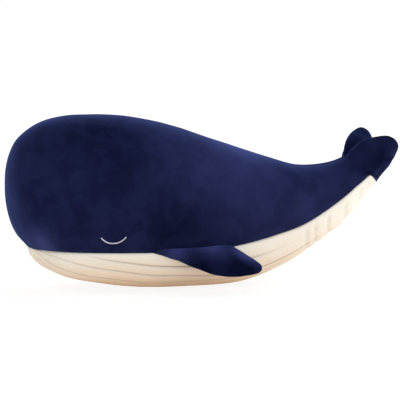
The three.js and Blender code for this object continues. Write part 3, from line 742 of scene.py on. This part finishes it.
def fluke_ring(station):
    """A ring of the fluke's outer face, from the leading edge (0) to the trailing edge (1)."""
    beyond = station - TAIL
    trail = belly_end(beyond) if beyond < 1 else trailing_edge((beyond - 1) * EDGE_STEPS / 4)
    middle = fluke_middle(beyond + 1)
    bulge = fluke_crown(beyond + 1) - middle
    end_out = seam_points[TAIL].y / flank_points[TAIL].y * max(1 - beyond, 0)
    upper = FLANK_SQUARENESS - 0.85 * between(beyond, 0, 0.8) + 0.1 * between(beyond, 0.8, 2.4)
    return half_ring(middle, bulge, leading_edge(beyond), trail, end_out, min(upper, BACK_SQUARENESS),
                     under_flank(station))


def tail_ring(station):
    """A ring of the tail end. Behind the belly's cut end the cloth rises towards the fork."""
    ring = flank_ring(station) if station <= TAIL else fluke_ring(station)
    lift = CUT_LIFT * between(station, 17.7, 18.15) * (1 - between(station, 18.9, 19.8))
    return lambda share: ring(share) + lift * math.sin(math.pi * max(2 * share - 1, 0) ** 2)


def fluke_inner_row(reach):
    """A row of the inner face, from the leading edge to the trailing edge. Reach 0 is the fork."""
    lead = leading_edge(reach * EDGE_STEPS)
    trail = trailing_edge(reach * EDGE_STEPS)
    middle = (lead + trail) / 2
    fullness = math.sin(math.pi * min(reach, 1) ** 0.7)
    swell = INNER_FACE * INNER_SWELL * max(fullness, 0) ** 0.6

    def at(share):
        out, down = squared_arc(abs(1 - 2 * share), 2.0)
        end = lead if share < 0.5 else trail
        return middle + (end - middle) * down + swell * out

    return at


print("fluke tip at", [round(x, 3) for x in leading_edge(EDGE_STEPS)])

# %% [markdown]
# The outer face starts with the very points on which the side panel ended, so the two join without
# a step. The crowded rings round the fork are smoothed first, and the relief is added afterwards.
# The inner face is a simple bowed leaf between the same two edges.

# %% Tail end and flukes
INNER_TRAILING_SEAM = (1.2 * MM, 2.2 * MM, 0.8 * MM, 6 * MM)
TAIL_ROWS, INNER_ROWS, INNER_COLUMNS, INNER_CROWDING = 117, 60, 60, 0.6
FORK_SMOOTHINGS = 6
# Painted highlights along the leading edge of a fluke's inner face: x, y, z in millimetres, 9 mm wide, 0.3
# lighter
INNER_PAINTED_HIGHLIGHTS = [(x, y, z, 9, 0.3) for x, y, z in ((250, 30, 197), (253, 32, 207), (262, 43, 216))]


def inner_relief(seed):
    """The turned edges, puckers and lumps of a fluke's inner face. They die away at its tip."""
    def how_far(point, from_lead, from_trail, row):
        relief = (soft_edge(from_lead, *LEADING_SEAM)
                  + soft_edge(from_trail, *INNER_TRAILING_SEAM)
                  + 0.5 * MM * seam_puckers(point, from_trail, 9 * MM, 8 * MM, seed)
                  + 0.7 * MM * lumps(point, 24 * MM, seed))
        return relief * (1 - between(row, 0.86, 0.98))
    return how_far


def tail_station(row):
    """The station of a row of the tail end, from the side panel's last ring to the fluke's tip."""
    return SIDE_END + (FLUKE_TIP - SIDE_END) * row


fluke_pieces = {}
for name, side in SIDES:
    place = rows_on_side(lambda row: tail_ring(tail_station(row)), side, SIDE_CROWDING)
    sheet = lay_sheet(TAIL_ROWS, SIDE_COLUMNS, place, side < 0)
    row_layer, unused, last_layer = kept_layers(sheet)
    near_fork = [v for v in sheet.verts if not v.is_boundary and v.co.x > back_rail(17.3).x
                 and (v[last_layer] > 7 * MM or 17.8 < tail_station(v[row_layer]) < 19.6)]
    for unused in range(FORK_SMOOTHINGS):
        bmesh.ops.smooth_vert(sheet, verts=near_fork, factor=0.5, use_axis_x=True, use_axis_y=True,
                              use_axis_z=True)
    push(sheet, navy_relief(side, tail_station))
    for v, end in zip(one_row(sheet, 0), side_ends[name]):
        v.co = end
    stroke_and_paint_light(sheet, SIDE_LIGHTNESS, marks_on_side(SIDE_PAINTED_LIGHT_AND_STROKES, side), side)
    outer = finish_sheet(sheet, f"{name}_fluke_outer_velour", THIN_CLOTH, navy_velour)
    place = rows_on_side(fluke_inner_row, side, INNER_CROWDING)
    sheet = lay_sheet(INNER_ROWS, INNER_COLUMNS, place, side > 0)
    push(sheet, inner_relief(17 + side))
    # Painted shade and highlight: the inner face starts darker all over than the sides, lightened only by its
    # painted highlights
    stroke_and_paint_light(sheet, 0.0, marks_on_side(INNER_PAINTED_HIGHLIGHTS, side), 17 + side)
    inner = finish_sheet(sheet, f"{name}_fluke_inner_velour", THIN_CLOTH, navy_velour)
    fluke_pieces[name] = (outer, inner)
    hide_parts(f"{name}_tail_side_panel", f"{name}_fluke_outer_panel", f"{name}_fluke_stuffing")
    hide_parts(f"{name}_fluke_inner_panel")
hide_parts("tail_stuffing")

# %% [markdown]
# ## Belly
# The belly is one cream panel from seam to seam. Four sewn grooves a side start at the belly seam
# behind the chin and run back side by side to the tail. The columns of the sheet follow the
# grooves, so that each groove is a clean line and the cloth between two of them swells.

# %% Where the grooves run
# Each groove: its settled place from seam to keel, the stations where it leaves the seam and settles,
# and how crisp its corner is there
GROOVES = [(.23, 7.9, 10.5, 40), (.45, 5.3, 12.2, 40), (.545, 4.85, 6.1, 6), (.78, 4.55, 6, 6)]
GROOVE_ENDS = [14.4, 16.3, 15.3, 16.3]
GROOVE_SPACING = 0.03
GROOVE_WIDTH, FULL_RIDGE = 2.1 * MM, 26 * MM
BELLY_HALF_GIRTH = 0.16
RIDGE_CROWDING = 0.75
COLUMNS_PER_RIDGE = 12
RIDGES = len(GROOVES) + 1


def groove_at(index, station):
    """Where a groove is from seam (0) to keel (1) at a station, and how deep it is there (0 to 1). It
    leaves the seam like a square root and then settles, with a softer corner when crisp is low."""
    settled, leaves, settles, crisp = GROOVES[index]
    gone = max((station - leaves) / (settles - leaves), 0)
    turn = math.sqrt(gone) / (1 + gone ** (crisp / 2)) ** (1 / crisp)
    end = GROOVE_ENDS[index]
    place = ((settled * turn) ** 4 + (GROOVE_SPACING * (index + 1)) ** 4) ** 0.25
    return place, turn * (1 - 0.9 * between(station, end - 2, end))


def belly_point(station, share):
    """The right half of the belly at a station, from the seam (0) to the keel (1)."""
    seam = seam_rail(station - CHIN)
    centre = on_midplane(seam)
    out, down = squared_arc(share, belly_squareness(station))
    keel = keel_rail(station - CHIN)
    keel.z = max(keel.z, -RESTING_FLAT)
    p = centre + (keel - centre) * down
    return Vector((p.x, seam.y * out, p.z))


def belly_column(station, column):
    """The share from seam to keel of a column, and how deep in a groove and how high on a ridge it is."""
    ridge = min(int(column), RIDGES - 1)
    part = column - ridge
    before, turn_before = groove_at(ridge - 1, station) if ridge > 0 else (0.0, 0.0)
    after, turn_after = groove_at(ridge, station) if ridge < len(GROOVES) else (1.0, 0.0)
    crossed = crowd(part, RIDGE_CROWDING)
    share = before + (after - before) * crossed
    width = (after - before) * BELLY_HALF_GIRTH
    from_before = crossed * width
    from_after = width - from_before
    groove = turn_before * fade(from_before, GROOVE_WIDTH) + turn_after * fade(from_after, GROOVE_WIDTH)
    hill = math.sin(math.pi * crossed) * min(width / FULL_RIDGE, 1)
    return share, groove, hill * max(turn_before, turn_after)


def belly_station(row):
    """The station of a row of the belly, with short steps at the chin."""
    return CHIN + 0.02 + (TAIL - CHIN - 0.02) * (0.6 * row + 0.4 * row ** 1.3)


def belly_line(row):
    """A row of the belly, from the right seam (0) over the keel (0.5) to the left seam (1)."""
    station = belly_station(row)

    def at(column):
        half = (1 - 2 * column) * RIDGES
        share, groove, hill = belly_column(station, RIDGES - abs(half))
        return on_side(belly_point(station, share), 1 if half > 0 else -1)

    return at


def belly_marks(row, columns):
    """How deep in a groove and how high on a ridge each column of a row is."""
    station = belly_station(row)
    return [belly_column(station, RIDGES - abs((1 - 2 * j / columns) * RIDGES))[1:]
            for j in range(columns + 1)]


print(len(GROOVES), "grooves a side, the first from station", GROOVES[-1][1])

# %% [markdown]
# The belly's relief has the grooves and the swelling ridges between them, the tuck at the seam, six
# slanted folds under the tail, and small gathers. Where the whale lies on the floor nothing swells,
# because its weight presses the cloth flat, and behind the chest the cloth just leaves the floor.

# %% Belly panel
BELLY_ROWS = 190
BELLY_COLUMNS = 2 * RIDGES * COLUMNS_PER_RIDGE
CREAM_SEAM = (1.0 * MM, 1.4 * MM, 0.4 * MM, 6 * MM)
GROOVE_DEPTH, RIDGE_HEIGHT, RIDGE_MIDDLE = 2.2 * MM, 0.9 * MM, 0.7
DENTS_X = [177, 191, 212, 240, 264, 276]
DENT_DEPTH, DENT_WIDTH, DENT_SLANT, DENT_SHADE = 1.7 * MM, 3.0 * MM, 0.35, 0.3
END_TUCK = 1.2 * MM
CHEST_X, CHEST_LIFT, CHEST_REACH = -104 * MM, 1.9 * MM, 32 * MM
LEAST_HEIGHT = 0.1 * MM

sheet = lay_sheet(BELLY_ROWS, BELLY_COLUMNS, belly_line, False)
sheet.normal_update()
groove_layer = sheet.verts.layers.float.new("groove")
row_layer, first_layer, last_layer = kept_layers(sheet)
marks = [belly_marks(i / BELLY_ROWS, BELLY_COLUMNS) for i in range(BELLY_ROWS + 1)]
by_row = {}
for v in sheet.verts:
    by_row.setdefault(round(v[row_layer] * BELLY_ROWS), []).append(v)
moves = []
for i, line in by_row.items():
    line.sort(key=lambda v: v[first_layer])
    station = belly_station(i / BELLY_ROWS)
    tail_share = between(station, 12.5, 15.5)
    for j, v in enumerate(line):
        groove, hill = marks[i][j]
        from_seam = min(v[first_layer], v[last_layer])
        dents = sum(fade(v.co.x + DENT_SLANT * abs(v.co.y) - x * MM, DENT_WIDTH) for x in DENTS_X)
        dents *= between(from_seam, 4 * MM, 14 * MM)
        # Painted shade: points in a groove or in a fold under the tail are darkened in colour.
        v[groove_layer] = min(groove + DENT_SHADE * dents, 1)
        gathers = 0.35 * MM + 0.55 * MM * tail_share
        beside = max(groove, fade(from_seam, 9 * MM), 0.35)
        spacing = (9 + 8 * tail_share) * MM
        puckers = noise.noise(Vector((v.co.x / spacing, 3.1 + v.co.y / 0.03, v.co.z / 0.04)))
        amount = (soft_edge(from_seam, *CREAM_SEAM)
                  - GROOVE_DEPTH * groove + RIDGE_HEIGHT * (hill - RIDGE_MIDDLE) - DENT_DEPTH * dents
                  - END_TUCK * fade(from_seam, 4 * MM) * between(station, 17.5, 17.9)
                  + gathers * beside * puckers
                  + 0.6 * MM * lumps(v.co, 40 * MM, 2.0))
        if amount > 0:
            amount *= between(v.co.z, 2 * MM, 25 * MM)
        moves.append((v, v.normal * amount))
for v, move in moves:
    v.co += move
    off_floor = CHEST_LIFT * fade(v.co.x - CHEST_X, CHEST_REACH) * (1 - between(v.co.z, 3 * MM, 16 * MM))
    v.co.z = max(v.co.z, LEAST_HEIGHT) + off_floor
sheet.normal_update()
groove_paths = {}
for name, side in SIDES:
    for k in range(len(GROOVES) + 1):
        j = BELLY_COLUMNS // 2 - side * COLUMNS_PER_RIDGE * (RIDGES - k)
        starts = CHIN if k == 0 else GROOVES[k - 1][1] + 0.4
        line = [(by_row[i][j], belly_station(i / BELLY_ROWS)) for i in range(BELLY_ROWS + 1)]
        groove_paths[name, k] = [(v.co.copy(), v.normal.copy(), station)
                                 for v, station in line if station > starts]
# Painted shade: the cream turns to its deep tan towards the floor, and more so at the front of the chin.
strokes_and_light_layer = sheet.verts.layers.float.new("strokes_and_painted_light")
for v in sheet.verts:
    v[strokes_and_light_layer] = between(v.co.z, 0, 34 * MM) * (0.35 + 0.65 * between(v.co.x, -275 * MM, -215 * MM))
belly = finish_sheet(sheet, "belly_velour", CLOTH, cream_velour)
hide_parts("belly_panel", "tail_belly_panel")

# %% [markdown]
# The bottom of each groove, and of each fold under the tail, is darkened as painted shade. The sheet
# remembers how deep in a groove or fold each of its points is, and the cream velour mixes in a grey
# brown by that value.

# %% Painted shade in the throat grooves of the cream velour
GROOVE_SHADE_COLOUR, GROOVE_SHADE = (0.44, 0.41, 0.36, 1), 0.8

groove_read = add_node(cream_nodes, "Attribute", attribute_name="groove")
groove_shade = add_node(cream_nodes, "Mix", {"B": GROOVE_SHADE_COLOUR}, data_type="RGBA")
groove_strength = add_node(cream_nodes, "Math", {1: GROOVE_SHADE}, operation="MULTIPLY")
join(cream_links, (groove_read, "Fac", groove_strength, 0), (groove_strength, 0, groove_shade, "Factor"),
     (cream_grain, "Result", groove_shade, "A"), (groove_shade, "Result", cream_cloth, "Base Color"))
print("grooves are shaded by up to", GROOVE_SHADE)

# %% [markdown]
# ## Flippers
# A flipper is a flat stuffed leaf, sewn into the belly seam along its front edge. Its two faces are
# laid as rings from the crown to the sewn rim. Its face is painted darker in its middle and at its tip,
# as painted shade, and lighter at its root and along its trailing rim, as painted highlight where its
# cloth turns away from the camera.

# %% Flippers
FLIPPER_REACH, FLIPPER_HALF = 60 * MM, 10 * MM
FLIPPER_DROOP = math.radians(36)
FLIPPER_OUTLINE = [(-.03, -.08), (.32, -.08), (.66, -.08), (.97, -.08), (1.05, .12), (1.13, .36), (1.21, .6),
                   (1.24, .78), (1.19, .94), (1.06, 1.01), (.86, 1.02), (.65, .93), (.42, .6), (.2, .2)]
FLIPPER_CROWN = (.66, .42)
FLIPPER_FRONT, FLIPPER_REAR = 0.553 * TAIL, 0.675 * TAIL
FLIPPER_ROWS, FLIPPER_COLUMNS = 120, 28
FLIPPER_SEAM = (0.8 * MM, 1.8 * MM, 0.5 * MM, 6 * MM)
FLIPPER_LIGHTNESS = 0.22
# Each mark of painted light and shade: along and out as shares of the flipper, size in millimetres, and how
# much lighter it is
FLIPPER_PAINTED_LIGHT_AND_SHADE = [(0.5, 0.7, 22, -0.3), (0.95, 0.85, 24, -0.45), (0.25, 0.05, 16, 1.0),
                   (0.7, 0.05, 20, 1.15), (1.12, 0.35, 17, 1.7)]

flipper_front = seam_rail(FLIPPER_FRONT - CHIN)
flipper_rear = seam_rail(FLIPPER_REAR - CHIN)
flipper_along = (flipper_rear - flipper_front).normalized()
flipper_length = (flipper_rear - flipper_front).length
flipper_level = Vector((0, 0, 1)).cross(flipper_along).normalized()
flipper_out = flipper_level * math.cos(FLIPPER_DROOP) - Vector((0, 0, math.sin(FLIPPER_DROOP)))
flipper_up = flipper_along.cross(flipper_out).normalized()
flipper_sideways = flipper_up.cross(flipper_along)


def closed_loop(points):
    """A smooth closed curve through points, taking a share from 0 to 1."""
    around = rail(points[-2:] + points + points[:3])
    return lambda share: around(2 + (share % 1) * len(points))


def on_flipper(x, y):
    """A place on the flat flipper, from its shares along and out."""
    return Vector((x * flipper_length, y * FLIPPER_REACH, 0))


flipper_rim = closed_loop([on_flipper(x, y) for x, y in FLIPPER_OUTLINE])
flipper_crown = on_flipper(*FLIPPER_CROWN)


def flipper_place(p, side):
    """A point of the flat flipper where it lies on the whale."""
    q = flipper_front + flipper_along * p.x + flipper_sideways * p.y + flipper_up * p.z
    return on_side(q, side)


def flipper_rows(side, up):
    """Rows of a flipper's face, each from the crown to the rim. Up is 1 for the upper face, else -1."""
    def place(row):
        rim_point = flipper_rim(row)

        def at(column):
            share = math.sin(column * math.pi / 2)
            flat = flipper_crown.lerp(rim_point, share)
            height = FLIPPER_HALF * math.cos(column * math.pi / 2) ** 0.9
            return flipper_place(Vector((flat.x, flat.y, up * height)), side)

        return at

    return place


def flipper_relief(seed):
    """The turned rim, puckers and lumps of a flipper's face."""
    def how_far(point, from_crown, from_rim, row):
        return (soft_edge(from_rim, *FLIPPER_SEAM)
                + 0.45 * MM * seam_puckers(point, from_rim, 9 * MM, 8 * MM, seed)
                + 0.8 * MM * lumps(point, 26 * MM, seed))
    return how_far


flipper_pieces = {}
for name, side in SIDES:
    marks = [(flipper_place(on_flipper(x, y), side), size * MM, strength)
             for x, y, size, strength in FLIPPER_PAINTED_LIGHT_AND_SHADE]
    pair = []
    for face_name, up in (("upper", 1), ("lower", -1)):
        sheet = lay_sheet(FLIPPER_ROWS, FLIPPER_COLUMNS, flipper_rows(side, up), side * up < 0)
        push(sheet, flipper_relief(20 + side + up / 3))
        stroke_and_paint_light(sheet, FLIPPER_LIGHTNESS, marks, 20 + side)
        pair.append(finish_sheet(sheet, f"{name}_flipper_{face_name}_velour", THIN_CLOTH, navy_velour))
        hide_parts(f"{name}_flipper_{face_name}_panel")
    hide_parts(f"{name}_flipper_stuffing")
    flipper_pieces[name] = pair
print("flipper root", round(flipper_length, 4), "m long")

# %% [markdown]
# ## Stitches
# The grooves are sewn through the cloth by hand, so each has a row of short stitches at its bottom,
# and the seams of the belly and the back have rows too. One stitch is a small stretched ball.

# %% Rows of stitches
def thread_material(name, colour, roughness, sheen):
    """A twisted thread: a fine noise darkens and roughens its colour."""
    material, nodes, links, output = new_material(name)
    coords = add_node(nodes, "TexCoord")
    twist = add_node(nodes, "TexNoise", {"Scale": 1800, "Detail": 2})
    dark = [c * 0.75 for c in colour]
    shade = add_node(nodes, "Mix", {"A": (*dark, 1), "B": (*colour, 1)}, data_type="RGBA")
    bump = add_node(nodes, "Bump", {"Strength": 0.5, "Distance": 0.15 * MM})
    thread = add_node(nodes, "BsdfPrincipled", {"Roughness": roughness, "Sheen Weight": sheen})
    join(links, (coords, "Object", twist, "Vector"), (twist, "Fac", shade, "Factor"),
         (twist, "Fac", bump, "Height"), (shade, "Result", thread, "Base Color"),
         (bump, "Normal", thread, "Normal"), (thread, 0, output, "Surface"))
    return material


cream_thread = thread_material("cream_thread", (0.46, 0.38, 0.30), 0.8, 0.1)
navy_thread = thread_material("navy_thread", (0.010, 0.013, 0.045), 0.8, 0.1)
eye_thread = thread_material("eye_thread", (0.80, 0.82, 0.95), 0.45, 0.3)


def along_path(path, pitch):
    """Points a pitch apart along a path, each with the direction of the path there."""
    found = []
    walked, wanted = 0.0, pitch / 2
    for a, b in zip(path, path[1:]):
        step = (b - a).length
        while step > 0 and walked + step >= wanted:
            found.append((a.lerp(b, (wanted - walked) / step), (b - a).normalized()))
            wanted += pitch
        walked += step
    return found


def stitch_row(name, path, pitch, length, thickness, material):
    """A row of stretched balls along a path, one at each pitch."""
    ball = bmesh.new()
    bmesh.ops.create_uvsphere(ball, u_segments=6, v_segments=5, radius=1)
    for face in ball.faces:
        face.smooth = True
    stitch = bpy.data.meshes.new("stitch")
    ball.to_mesh(stitch)
    ball.free()
    half_size = Vector((length, thickness, thickness)) / 2
    row = bmesh.new()
    for place, direction in along_path(path, pitch):
        matrix = Matrix.LocRotScale(place, direction.to_track_quat("X", "Z"), half_size)
        stitch.transform(matrix)
        row.from_mesh(stitch)
        stitch.transform(matrix.inverted())
    mesh = bpy.data.meshes.new(name)
    row.to_mesh(mesh)
    row.free()
    mesh.materials.append(material)
    return link_object(name, mesh)


def sunk(path, how_deep):
    """Points of a path on the cloth, moved into it by how_deep(station)."""
    return [p - normal * how_deep(station) for p, normal, station in path]


# Each row of stitches: its pitch, and each stitch's length and thickness
NAVY_STITCH = (4.2 * MM, 3.2 * MM, 0.8 * MM)
GROOVE_STITCH = (4.4 * MM, 3.3 * MM, 0.8 * MM)
BELLY_SEAM_SUNK, BACK_SEAM_SUNK = 1.3 * MM, 1.6 * MM

stitch_pieces = []
for (name, k), path in groove_paths.items():
    if k == 0:
        path = sunk(path, lambda station: BELLY_SEAM_SUNK)
        row = stitch_row(f"{name}_belly_seam_stitches", path, *NAVY_STITCH, navy_thread)
        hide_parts(f"{name}_belly_seam_thread", f"{name}_tail_seam_thread")
    else:
        end = GROOVE_ENDS[k - 1]
        path = sunk(path, lambda station: (0.35 + 1.5 * between(station, end - 2, end)) * MM)
        row = stitch_row(f"{name}_groove_{k}_stitches", path, *GROOVE_STITCH, cream_thread)
        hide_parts(f"{name}_groove_thread_{k}", f"{name}_tail_groove_thread_{k}")
    stitch_pieces.append(row)
back_path = [back_rail(s * 0.1) - Vector((0, 0, BACK_SEAM_SUNK)) for s in range(181)]
back_stitches = stitch_row("back_seam_stitches", back_path, *NAVY_STITCH, navy_thread)
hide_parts("back_seam_thread", "tail_back_seam_thread")
stitch_pieces.append(back_stitches)
print(len(stitch_pieces), "rows of stitches")

# %% [markdown]
# ## Sleeping eyes
# Each eye is a closed lid, a short arc in satin stitch: a pale shiny thread that goes to and fro
# across the line many times. The arc is drawn in the side view and dropped onto the cheek.

# %% Embroidered eyes
EYE_MIDDLE, EYE_WIDTH, EYE_DROP = (0.2245, 0.3475), 38 * MM, 9.3 * MM
EYE_ROUNDNESS, EYE_WOBBLE, EYE_PROUD = 2.4, 0.35 * MM, 0.35 * MM
SATIN_STITCH = (0.42 * MM, 0.6 * MM, 1.9 * MM)

for name, side in SIDES:
    path = []
    for i in range(41):
        t = i / 20 - 1
        x = EYE_MIDDLE[0] * LENGTH + NOSE_X + t * EYE_WIDTH / 2
        z = EYE_MIDDLE[1] * HEIGHT - RESTING_FLAT - EYE_DROP * (1 - abs(t) ** EYE_ROUNDNESS)
        z += EYE_WOBBLE * noise.noise(Vector((i / 3.5, side, 0.5)))
        place, normal, *unused = cheeks[name].ray_cast(Vector((x, side, z)), Vector((0, -side, 0)))
        path.append(place + normal * EYE_PROUD)
    eye = stitch_row(f"{name}_eye_satin_stitch", path, *SATIN_STITCH, eye_thread)
    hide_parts(f"{name}_eye_embroidery")
    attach(eye, "body")
print("eyes at", [round(x, 3) for x in path[20]])

# %% [markdown]
# ## Joining the pieces to the bodies
# The side panels, the belly and their stitches bend with the tail, so they are blended across the
# tail joint. The tail end and the fluke faces bend at the fluke roots, and the flippers at the
# belly seam.

# %% Blend and declare
TAIL_BEND_START, TAIL_BEND_END = Vector((0.118, 0, 0.108)), Vector((0.203, 0, 0.108))
FLUKE_SPAN = Vector((0.414279, 0.760406, 0.500155))
FLUKE_BEND = 28 * MM
FLIPPER_BEND_INSIDE, FLIPPER_BEND_OUTSIDE = 2 * MM, 14 * MM
joint_places = {joint["name"]: Vector(joint["pos_m"]) for joint in frame["joints"]}

for piece in (*side_pieces.values(), belly, *stitch_pieces):
    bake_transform(piece, "body", "tail", start=TAIL_BEND_START, end=TAIL_BEND_END)
for name, side in SIDES:
    hinge = joint_places[f"{name}_fluke_flap"]
    bend_end = hinge + on_side(FLUKE_SPAN, side) * FLUKE_BEND
    for piece in fluke_pieces[name]:
        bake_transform(piece, "tail", f"{name}_fluke", start=hinge, end=bend_end)
    root, out = on_side(flipper_front, side), on_side(flipper_out, side)
    bend_start = root - out * FLIPPER_BEND_INSIDE
    bend_end = root + out * FLIPPER_BEND_OUTSIDE
    for piece in flipper_pieces[name]:
        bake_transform(piece, "body", f"{name}_flipper", start=bend_start, end=bend_end)
print("joints blended across:", sorted(joint_places))
